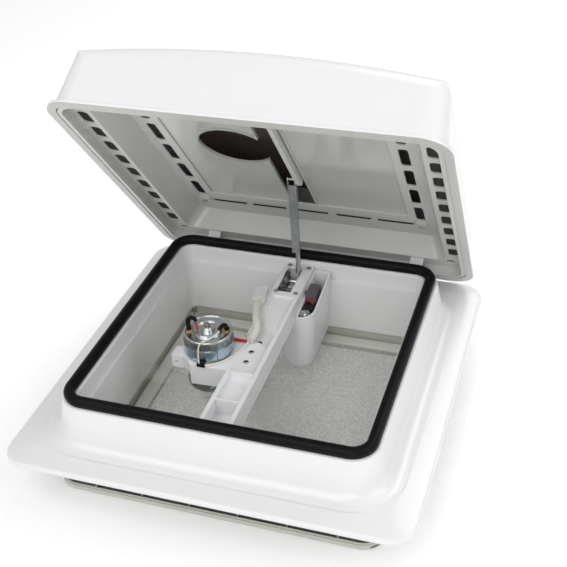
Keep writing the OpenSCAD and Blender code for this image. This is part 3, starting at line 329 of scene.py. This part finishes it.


# %% Two-tone plastics
# Near-black painted into the walls of the bracket's and the beam's holes, as the shade inside them.
HOLE_SHADE = (0.02, 0.02, 0.02)
make_finishes(moulding, {
    # The trim's trough takes a near-black painted shade.
    "garnish_white": dict(pale=(0.56, 0.56, 0.50), deep=(0.52, 0.52, 0.46), gloss=0.34, edge_mm=0.6,
                          patch=(trim_trough_shade, (0.13, 0.12, 0.12))),
    "gearbox_black": dict(pale=(0.012, 0.012, 0.014), deep=(0.010, 0.010, 0.012), gloss=0.42, edge_mm=0.6,
                          patch=(gear_cover, (0.125, 0.103, 0.112))),
    # The dome's rim underside is painted the liner's grey, as shade.
    "dome_white": dict(SHELL, patch=(rim_underside_shade, (0.50, 0.51, 0.485))),
    "bracket_white": dict(BEAM, patch=(plate_hole_shade, HOLE_SHADE)),
    "beam_drilled": dict(BEAM, patch=(beam_hole_shade, HOLE_SHADE)),
})

# %% [markdown]
# ## Rubber, lining and leads
# The bulb seal is soft rubber with a satin bloom. The lining above the lid's holes is dark cloth, whose
# weave shows when a lamp shines in. The leads are plain extruded insulation, and the sleeve over them is
# braided. Thread by thread, a weave would need thousands of faces; two crossed waves look the same here.


# %% Rubber, lining, insulation and braid
def rubber(name, dark, bloom, gloss):
    f = Finish(name)
    dusty = f.noise(60, 4).clip(0.4, 0.75)
    grain = f.noise(1400, 2)
    return f.done(base_color=f.mix(dusty * 0.5, dark, bloom), roughness=gloss + dusty * 0.12,
                  specular_ior_level=0.11, normal=f.bump(grain, 0.02, 0.4))


def lining(name, deep, pale, threads=700):
    f = Finish(name)
    x, y, _ = f.axes()
    weave = x.wave(threads) * y.wave(threads)
    return f.done(base_color=f.mix(weave, deep, pale), roughness=0.85, normal=f.bump(weave, 0.2, 0.5))


def insulation(name, pale, deep, gloss):
    f = Finish(name)
    mottle = f.noise(160, 3).clip(0.3, 0.7)
    return f.done(base_color=f.mix(mottle, deep, pale), roughness=gloss + f.noise(90) * 0.1,
                  normal=f.bump(f.noise(1200), 0.02, 0.5))


def braid(name, deep, pale, strands=520):
    f = Finish(name)
    x, y, z = f.axes()
    plait = (x + y).wave(strands) * (x - y + z).wave(strands)
    return f.done(base_color=f.mix(plait, deep, pale), roughness=0.75, normal=f.bump(plait, 0.3, 0.6))


make_finishes(rubber, {
    "seal_rubber": dict(dark=(0.004, 0.004, 0.005), bloom=(0.009, 0.009, 0.011), gloss=0.38),
    "boot_black": dict(dark=(0.006, 0.006, 0.006), bloom=(0.016, 0.016, 0.017), gloss=0.38),
})
make_finishes(lining, {
    "lining_dark": dict(deep=(0.10, 0.08, 0.066), pale=(0.20, 0.155, 0.13)),
    "screen_black": dict(deep=(0.010, 0.008, 0.007), pale=(0.035, 0.028, 0.024)),
})
make_finishes(insulation, {
    "wire_white": dict(pale=(0.80, 0.78, 0.70), deep=(0.70, 0.68, 0.60), gloss=0.35),
    "wire_red": dict(pale=(0.62, 0.012, 0.012), deep=(0.45, 0.006, 0.006), gloss=0.34),
})
make_finishes(braid, {"sleeve_cream": dict(deep=(0.62, 0.60, 0.53), pale=(0.86, 0.84, 0.77))})

# %% [markdown]
# ## Metals and laminate
# The lift arm is zinc-plated sheet, drawn along its length. The motor can is drawn steel with fine
# vertical lines, and its end cap is turned, so its marks are rings round the shaft. The flux ring has
# the bluish cast of fresh plating. The brush plates are tan laminate, a cloth set in resin. Stretched
# noise makes drawn marks, and waves of the distance from the shaft make turned ones.


# %% Zinc, steel, bronze and laminate
def plated(name, pale, deep, gloss, stretch):
    f = Finish(name)
    spangle = f.add("ShaderNodeTexVoronoi", {"feature": "F1"}, {"Vector": f.place, "Scale": 320}, "Color")
    flake = f.add("ShaderNodeRGBToBW", {}, {0: spangle})
    lines = f.noise(60, 3, stretch)
    stain = f.noise(45, 4).clip(0.45, 0.7)
    tone = f.mix(flake * 0.5 + lines * 0.5, deep, pale)
    tone = f.mix(stain * 0.25, tone, tuple(c * 0.55 for c in deep))
    return f.done(base_color=tone, metallic=1.0, roughness=gloss + lines * 0.14 + stain * 0.08,
                  normal=f.bump(lines, 0.02, 0.5, f.soft_edges(0.3)))


def turned(name, pale, deep, centre, rings):
    f = Finish(name)
    x, y, _ = f.axes(centre)
    mark = from_axis(x, y).wave(rings) * 0.6 + f.noise(130, 3) * 0.4
    return f.done(base_color=f.mix(mark, deep, pale), metallic=1.0, roughness=0.17 + mark * 0.14,
                  normal=f.bump(mark, 0.03, 0.6, f.soft_edges(0.35)))


def laminate(name, deep, pale, threads=1500):
    f = Finish(name)
    x, y, _ = f.axes()
    cloth = x.wave(threads) * y.wave(threads)
    return f.done(base_color=f.mix(cloth * 0.6 + f.noise(90) * 0.4, deep, pale), roughness=0.5,
                  normal=f.bump(cloth, 0.1, 0.5, f.soft_edges(0.3)))


MOTOR_AXIS = Vector((-58, -31, 0)) * MM
ALONG_ARM, UPRIGHT, ROUND, EVEN = (1, 1, 0.08), (1, 1, 0.1), (0.2, 0.2, 1), (1, 1, 1)
make_finishes(plated, {
    "arm_zinc": dict(pale=(0.62, 0.64, 0.66), deep=(0.40, 0.42, 0.44), gloss=0.24, stretch=ALONG_ARM),
    "can_zinc": dict(pale=(0.42, 0.46, 0.45), deep=(0.22, 0.25, 0.245), gloss=0.14, stretch=UPRIGHT),
    "flux_blue": dict(pale=(0.58, 0.68, 0.78), deep=(0.36, 0.45, 0.54), gloss=0.18, stretch=ROUND),
    "gear_steel": dict(pale=(0.24, 0.24, 0.25), deep=(0.12, 0.12, 0.13), gloss=0.34, stretch=EVEN),
    "screw_steel": dict(pale=(0.62, 0.62, 0.61), deep=(0.40, 0.40, 0.40), gloss=0.24, stretch=EVEN),
    "bush_bronze": dict(pale=(0.50, 0.33, 0.16), deep=(0.28, 0.17, 0.08), gloss=0.35, stretch=EVEN),
})
make_finishes(turned, {
    "cap_turned": dict(pale=(0.86, 0.88, 0.90), deep=(0.52, 0.55, 0.57), centre=MOTOR_AXIS, rings=900),
})
make_finishes(laminate, {"phenolic_tan": dict(deep=(0.30, 0.17, 0.06), pale=(0.55, 0.36, 0.16))})

# %% [markdown]
# ## Clear plastic and yarn
# The fan is clear plastic: only its edges, a faint grey tint and the lamps' reflections show. A low
# Alpha lets the light through to the mesh below, where glass would throw a full shadow. The connector
# is milky, so more of it stays. The mesh is coated yarn of a warm grey, a little uneven, which gives the
# cloth its grain.


# %% Clear plastic, milky plastic and yarn
def clear_plastic(name, deep, pale):
    f = Finish(name)
    haze = f.noise(30, 4)
    return f.done(base_color=f.mix(haze, deep, pale), roughness=0.03 + haze * 0.05, alpha=0.10 + haze * 0.10)


def milky(name, deep, pale):
    f = Finish(name)
    cloud = f.noise(120, 3)
    return f.done(base_color=f.mix(cloud, deep, pale), roughness=0.16 + cloud * 0.1,
                  alpha=0.5 + cloud * 0.2, normal=f.soft_edges(0.5))


def yarn(name, deep, pale):
    f = Finish(name)
    uneven = f.noise(330, 3).clip(0.36, 0.64)
    return f.done(base_color=f.mix(uneven, deep, pale), roughness=0.6,
                  normal=f.bump(f.noise(4000), 0.02, 0.4))


make_finishes(clear_plastic, {"fan_clear": dict(deep=(0.62, 0.65, 0.61), pale=(0.74, 0.76, 0.72))})
make_finishes(milky, {"connector_clear": dict(deep=(0.74, 0.75, 0.74), pale=(0.86, 0.87, 0.86))})
make_finishes(yarn, {"net_grey": dict(deep=(0.27, 0.26, 0.235), pale=(0.75, 0.73, 0.68))})

# %% [markdown]
# ## Dressing the solids
# The record names a finish for every solid. A few solids take another one here, such as the turned cap
# or a two-tone moulding. Only the material slots change, and the solids' meshes stay as they are.

# %% Finishes on the solids
OWN_FINISH = {"fan_motor_cap": "cap_turned", "base_frame": "flange_white", "lid_dome": "dome_white",
              "vent_screens": "screen_black", "motor_bracket": "bracket_white", "crossbeam": "beam_drilled",
              "lift_motor": "cap_turned"}
slot_of = {part["node"]: part["material_slot"] for part in frame["record"]["subparts"]}
for name, solid in solids.items():
    solid.data.materials.clear()
    solid.data.materials.append(finishes[OWN_FINISH.get(name, slot_of[name])])
print("finishes:", len(finishes), "on", len(solids), "solids")


def set_in_place(piece, body, slot, node=None, finish=None):
    """Gives a new piece its finish, the body it rides on and the solid it stands for."""
    piece.data.materials.clear()
    piece.data.materials.append(finishes[finish or slot])
    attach(piece, body)
    if node:
        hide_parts(node)


# %% [markdown]
# ## Leads and the braided sleeve
# A white lead comes from the right brush terminal and is clipped at the bracket's edge; a second one goes
# on to a braided sleeve, which ends in a connector lying on the crossbeam. A tube could be extruded
# along each, but a curve with a round section keeps its length and is easy to lay anew. Each is one
# smooth curve through the points of its route, so it is as long as the real one and ends where it is held.


# %% Laying a lead
def through(points, steps=6):
    """Points on a smooth curve through the given ones."""
    padded = [points[0] * 2 - points[1], *points, points[-1] * 2 - points[-2]]
    curve = []
    for a, b, c, d in zip(padded, padded[1:], padded[2:], padded[3:]):
        for k in range(steps):
            t = k / steps
            curve.append(0.5 * (2 * b + (c - a) * t + (2 * a - 5 * b + 4 * c - d) * t * t
                                + (3 * b - a - 3 * c + d) * t ** 3))
    return curve + [points[-1]]


def lay(name, route, diameter, finish, node):
    points = through([Vector(p) * MM for p in route])
    curve = bpy.data.curves.new(name, "CURVE")
    curve.dimensions, curve.bevel_depth, curve.bevel_resolution = "3D", diameter / 2, 4
    curve.use_fill_caps = True
    spline = curve.splines.new("POLY")
    spline.points.add(len(points) - 1)
    for point, place in zip(spline.points, points):
        point.co = (*place, 1)
    lead = bpy.data.objects.new(name, curve)
    bpy.context.scene.collection.objects.link(lead)
    set_in_place(lead, "base", finish, node)
    length = sum((b - a).length for a, b in zip(points, points[1:]))
    print(name, "is", round(length / MM, 1), "mm long")
    return lead, points, length


# %% Leads and sleeve
ROUTES = {
    "lead_white": [(-40.4, -36.7, 78.7), (-40.7, -37.5, 77.6), (-41.7, -39.6, 76.6), (-43.8, -43.6, 75.9),
                   (-46.6, -48.6, 75.6), (-50, -54, 75.6), (-53.4, -58.8, 75.6), (-55.6, -62.2, 74.6),
                   (-57.3, -64.6, 71), (-58.3, -65.8, 60), (-58, -67, 51), (-58, -67, 46)],
    "lead_return": [(-50.3, -67, 46.2), (-48.6, -66.9, 46.2), (-46.2, -65.6, 46), (-40, -60.2, 45.7),
                    (-34.3, -55.2, 45.6), (-27.2, -45.2, 45.4), (-21, -32, 45.4), (-16.5, -20, 46),
                    (-14.2, -13, 47.4), (-13.8, -9.9, 47.8)],
    "wire_sleeve": [(-12, -9.5, 49.6), (-10.6, -2, 50.5), (-9.5, 10, 53.9), (-12.6, 19, 56.1),
                    (-16.6, 30, 56.4), (-20.5, 42, 56.4), (-24, 54, 55.6), (-25.7, 62, 54.8)],
}
LEAD_THICK, SLEEVE_THICK = 2 * MM, 10.6 * MM
for node in ("lead_white", "lead_return"):
    lead, points, length = lay("laid_" + node, ROUTES[node], LEAD_THICK, "wire_white", node)
sleeve, points, length = lay("laid_sleeve", ROUTES["wire_sleeve"], SLEEVE_THICK, "sleeve_cream",
                             "wire_sleeve")

# %% [markdown]
# ## Insect mesh
# The real mesh has a strand every millimetre and a half. A see-through pattern on a sheet would do from
# afar, but real strands shade each other. One strand is a thin tube; an Array modifier repeats it over
# the frame, and a turned copy lies across it.


# %% Insect mesh
def select_none():
    bpy.ops.object.select_all(action="DESELECT")


def join(pieces, name):
    """Makes one piece of several."""
    select_none()
    for piece in pieces:
        piece.select_set(True)
    bpy.context.view_layer.objects.active = pieces[0]
    bpy.ops.object.join()
    whole = bpy.context.object
    whole.name = name
    return whole


STRAND, PITCH = 0.32 * MM, 1.5 * MM
LOWER_LAY, UPPER_LAY = 0.16 * MM, 0.44 * MM
QUARTER_TURN = math.pi / 2
low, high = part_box("screen_net")
span = high.x - low.x
count = int(span / PITCH)
strands = []
for angle, lift in ((0, LOWER_LAY), (QUARTER_TURN, UPPER_LAY)):
    select_none()
    bpy.ops.mesh.primitive_cylinder_add(vertices=5, radius=STRAND / 2, depth=span,
                                        rotation=(0, QUARTER_TURN, 0))
    strand = bpy.context.object
    bpy.ops.object.transform_apply(rotation=True)
    strand.location = (0, -(count - 1) * PITCH / 2, 0)
    bpy.ops.object.transform_apply(location=True)
    repeat = strand.modifiers.new("repeat", "ARRAY")
    repeat.count, repeat.use_relative_offset, repeat.use_constant_offset = count, False, True
    repeat.constant_offset_displace = (0, PITCH, 0)
    bpy.ops.object.modifier_apply(modifier="repeat")
    strand.rotation_euler.z, strand.location.z = angle, low.z + lift
    bpy.ops.object.transform_apply(location=True, rotation=True)
    strands.append(strand)
mesh = join(strands, "insect_mesh")
bpy.ops.object.shade_smooth()
set_in_place(mesh, "base", "net_grey", "screen_net")
print("insect mesh:", count, "strands each way,", len(mesh.data.polygons), "faces")

# %% [markdown]
# ## Screw heads
# A solid screw head is a plain disc; a real one has a rounded edge and a cross recess. One head is a
# short cylinder whose top is inset and whose edge is bevelled, and two crossed bars cut the recess: a
# Boolean cuts cleaner than moving the top's corners by hand. Sizes are shares of the head's radius.

# %% One screw
TOP_INSET, EDGE_ROUND = 0.16, 0.15
SLOT_LONG, SLOT_WIDE = 1.25, 0.26
SLOT_MIDDLE = 0.1
FACING = 0.9
SMOOTH_BELOW = math.radians(40)


def cut(piece, size, place):
    """Cuts a bar out of the piece."""
    select_none()
    bpy.ops.mesh.primitive_cube_add(size=1, location=place)
    bar = bpy.context.object
    bar.scale = size
    bpy.ops.object.transform_apply(scale=True)
    select_none()
    bpy.context.view_layer.objects.active = piece
    piece.select_set(True)
    slot = piece.modifiers.new("slot", "BOOLEAN")
    slot.operation, slot.object, slot.solver = "DIFFERENCE", bar, "EXACT"
    bpy.ops.object.modifier_apply(modifier="slot")
    bpy.data.objects.remove(bar)


def pick_faces(piece, wanted):
    """Selects the faces that the test wants, in edit mode."""
    bpy.ops.object.mode_set(mode="EDIT")
    bpy.ops.mesh.select_mode(type="FACE")
    bpy.ops.mesh.select_all(action="DESELECT")
    bpy.ops.object.mode_set(mode="OBJECT")
    for face in piece.data.polygons:
        face.select = wanted(face)
    bpy.ops.object.mode_set(mode="EDIT")


def screw(radius, height, shank=None):
    """One screw with its head's top at the origin, along the z axis."""
    select_none()
    bpy.ops.mesh.primitive_cylinder_add(vertices=28, radius=radius, depth=height,
                                        location=(0, 0, -height / 2))
    head = bpy.context.object
    bpy.ops.object.transform_apply(location=True)
    pick_faces(head, lambda face: face.normal.z > FACING)
    bpy.ops.mesh.inset(thickness=radius * TOP_INSET)
    bpy.ops.object.mode_set(mode="OBJECT")
    rounding = head.modifiers.new("rounding", "BEVEL")
    rounding.width, rounding.segments, rounding.limit_method = radius * EDGE_ROUND, 3, "ANGLE"
    bpy.ops.object.modifier_apply(modifier="rounding")
    if shank:
        shank_radius, shank_length = shank
        pick_faces(head, lambda face: face.normal.z < -FACING)
        bpy.ops.mesh.inset(thickness=radius - shank_radius)
        bpy.ops.mesh.extrude_region_move(TRANSFORM_OT_translate={"value": (0, 0, -shank_length)})
        bpy.ops.object.mode_set(mode="OBJECT")
    long, wide = radius * SLOT_LONG, radius * SLOT_WIDE
    for size in ((long, wide, height), (wide, long, height)):
        cut(head, size, (0, 0, -height * SLOT_MIDDLE))
    return head


# %% [markdown]
# ## Setting the screws
# The beam has four screws along its top, and the lid's liner is held by screws from below. Their places
# could be typed in, but they are read from the solid's own corners, so that each head sits exactly where
# the solid has it.

# %% Screws on the beam and the liner
FACE_BAND, HEADS_APART = 0.05 * MM, 12 * MM


def head_places(node, outward):
    """The middle of each head's outer face."""
    corners = [corner.co for corner in solids[node].data.vertices]
    face = max(corner.dot(outward) for corner in corners)
    heads = []
    for corner in corners:
        if corner.dot(outward) > face - FACE_BAND:
            near = [head for head in heads if (head[0] - corner).length < HEADS_APART]
            if near:
                near[0].append(corner)
            else:
                heads.append([corner])
    return [Vector([(min(axis) + max(axis)) / 2 for axis in zip(*head)]) for head in heads]


def set_screws(node, body, outward, radius, height, shank=None):
    facing = outward.to_track_quat("Z", "Y").to_matrix().to_4x4()
    copies = []
    for place in head_places(node, outward):
        head = screw(radius, height, shank)
        head.matrix_world = Matrix.Translation(place) @ facing
        bpy.ops.object.transform_apply(location=True, rotation=True)
        copies.append(head)
    screws = join(copies, "cross_" + node)
    bpy.ops.object.shade_smooth_by_angle(angle=SMOOTH_BELOW)
    set_in_place(screws, body, "screw_steel", node)
    print(screws.name, len(copies), "screws")


up = Vector((0, 0, 1))
lid_down = Vector((0, -math.sin(LID_OPEN), -math.cos(LID_OPEN)))
set_screws("beam_screws", "base", up, radius=3.2 * MM, height=1.6 * MM)
set_screws("liner_screws", "lid", lid_down, radius=4 * MM, height=1.5 * MM, shank=(1.95 * MM, 12 * MM))

# %% [markdown]
# ## Painted shade in the liner's slits
# Air leaves the lid through slits behind the two plates, and the slits lie in deep shade. A dark strip in
# each slit stands in for that shade, as painted shade. Black paint on the slits' walls would look flat,
# so each gets a strip: a bar with bevelled edges, laid in the closed lid's place and then turned up with
# the lid.

# %% Shade strips in the slits
SLIT_MIDDLES = [-119.5, -61, 0, 61, 119.5]
SLIT_LENGTH, SLIT_WIDTH, SHADE_STRIP_THICK = 48.6 * MM, 2.9 * MM, 2.8 * MM
SLIT_Y, SLIT_Z = 155 * MM, 91.2 * MM
SHADE_STRIP_ROUND = 0.4 * MM
lid_up = Matrix.Translation(HINGE) @ Matrix.Rotation(-LID_OPEN, 4, "X") @ Matrix.Translation(-HINGE)
strips = []
for middle in SLIT_MIDDLES:
    select_none()
    bpy.ops.mesh.primitive_cube_add(size=1, location=(middle * MM, SLIT_Y, SLIT_Z))
    strip = bpy.context.object
    strip.scale = (SLIT_LENGTH, SLIT_WIDTH, SHADE_STRIP_THICK)
    bpy.ops.object.transform_apply(location=True, scale=True)
    soft = strip.modifiers.new("soft", "BEVEL")
    soft.width, soft.segments = SHADE_STRIP_ROUND, 3
    bpy.ops.object.modifier_apply(modifier="soft")
    strips.append(strip)
slit_shading = join(strips, "slit_shade_strips")
slit_shading.matrix_world = lid_up
bpy.ops.object.transform_apply(location=True, rotation=True)
bpy.ops.object.shade_smooth_by_angle(angle=SMOOTH_BELOW)
# The strips' near-black finish is painted shade.
set_in_place(slit_shading, "lid", "lining_dark", finish="screen_black")
print("foam strips:", len(strips))

# %% [markdown]
# ## Floor and light
# The picture is a studio shot on white: a pale floor that glows a little, two broad soft lamps in front,
# one to the right and one behind. The lid keeps the last off its own inside, which falls into shade.
# Large square lamps give the soft shadows; small ones would draw hard edges under the flange.

# %% Floor
FLOOR_SIDE, FLOOR_GLOW, SKY_STRENGTH = 12, 0.12, 0.5
select_none()
bpy.ops.mesh.primitive_plane_add(size=FLOOR_SIDE, location=(0, 0, solid_box[0][2]))
floor = bpy.context.object
floor.name = "floor"
paper = Finish("paper")
shade = paper.mix(paper.noise(3), (0.94, 0.94, 0.94), (0.96, 0.96, 0.96))
floor.data.materials.append(paper.done(base_color=shade, roughness=0.9, emission_color=(1, 1, 1),
                                       emission_strength=FLOOR_GLOW))
print("floor at", round(solid_box[0][2] / MM, 1), "mm")

# %% Sky and lamps
world = bpy.data.worlds.new("studio")
bpy.context.scene.world = world
world.use_nodes = True
sky = world.node_tree.nodes["Background"]
sky.inputs["Color"].default_value = (1, 1, 1, 1)
sky.inputs["Strength"].default_value = SKY_STRENGTH


def lamp(name, place, aim, side, watts):
    select_none()
    bpy.ops.object.light_add(type="AREA", location=place)
    light = bpy.context.object
    light.name = name
    light.data.shape, light.data.size, light.data.energy = "SQUARE", side, watts
    light.rotation_euler = (Vector(place) - Vector(aim)).to_track_quat("Z", "Y").to_euler()
    print("lamp:", name, watts, "W")


lamp("key", place=(-0.7, -1.5, 2.2), aim=(0, 0, 0.05), side=1.6, watts=20)
lamp("front", place=(0.5, -2.4, 1.5), aim=(0, 0, 0.05), side=1.4, watts=17)
lamp("right", place=(2.2, -0.3, 1.5), aim=(0.1, 0, 0), side=1.6, watts=15)
lamp("back", place=(0.6, 2.2, 2.4), aim=(0, 0.3, 0), side=2.0, watts=36)
bpy.context.scene.view_settings.view_transform = "Standard"

# %% [markdown]
# ## Updating the scene
# The view layer is brought up to date.

# %% Update the view layer
bpy.context.view_layer.update()
